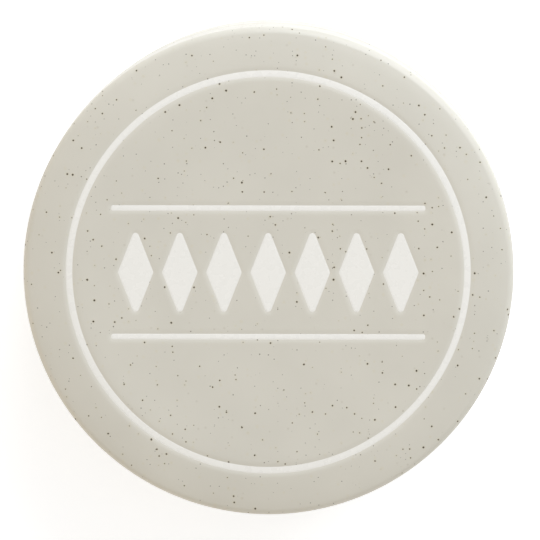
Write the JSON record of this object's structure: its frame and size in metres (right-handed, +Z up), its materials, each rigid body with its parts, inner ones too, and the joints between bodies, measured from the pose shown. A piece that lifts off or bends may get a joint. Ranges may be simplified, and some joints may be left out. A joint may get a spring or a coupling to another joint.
{
  "type": "cheese baker",
  "caption": "Round stoneware cheese baker: a shallow straight-sided dish with a flat flanged lid that lifts off, its face marked with sunk lines of white glaze.",
  "frame": {"origin": "centre of the dish's foot, on the surface it stands on", "axes": "+Z up along the baker's axis, towards the lid's face; +Y towards the upper rule on the lid; +X along the rules"},
  "size_m": [0.14, 0.14, 0.055],
  "materials": {
    "speckled_glaze": "satin warm-grey glaze with fine dark iron specks",
    "white_glaze": "smooth thick white glaze"
  },
  "bodies": {
    "dish": {"dish": "speckled_glaze"},
    "lid": {"lid": "speckled_glaze", "ring_glaze": "white_glaze", "upper_rule_glaze": "white_glaze", "lower_rule_glaze": "white_glaze", "lozenge_glaze_1": "white_glaze", "lozenge_glaze_2": "white_glaze", "lozenge_glaze_3": "white_glaze", "lozenge_glaze_4": "white_glaze", "lozenge_glaze_5": "white_glaze", "lozenge_glaze_6": "white_glaze", "lozenge_glaze_7": "white_glaze"}
  },
  "joints": [
    {"name": "lid_lift", "type": "slide", "parent": "dish", "child": "lid", "axis": [0, 0, 1], "range_m": [0, 0.08]}
  ]
}
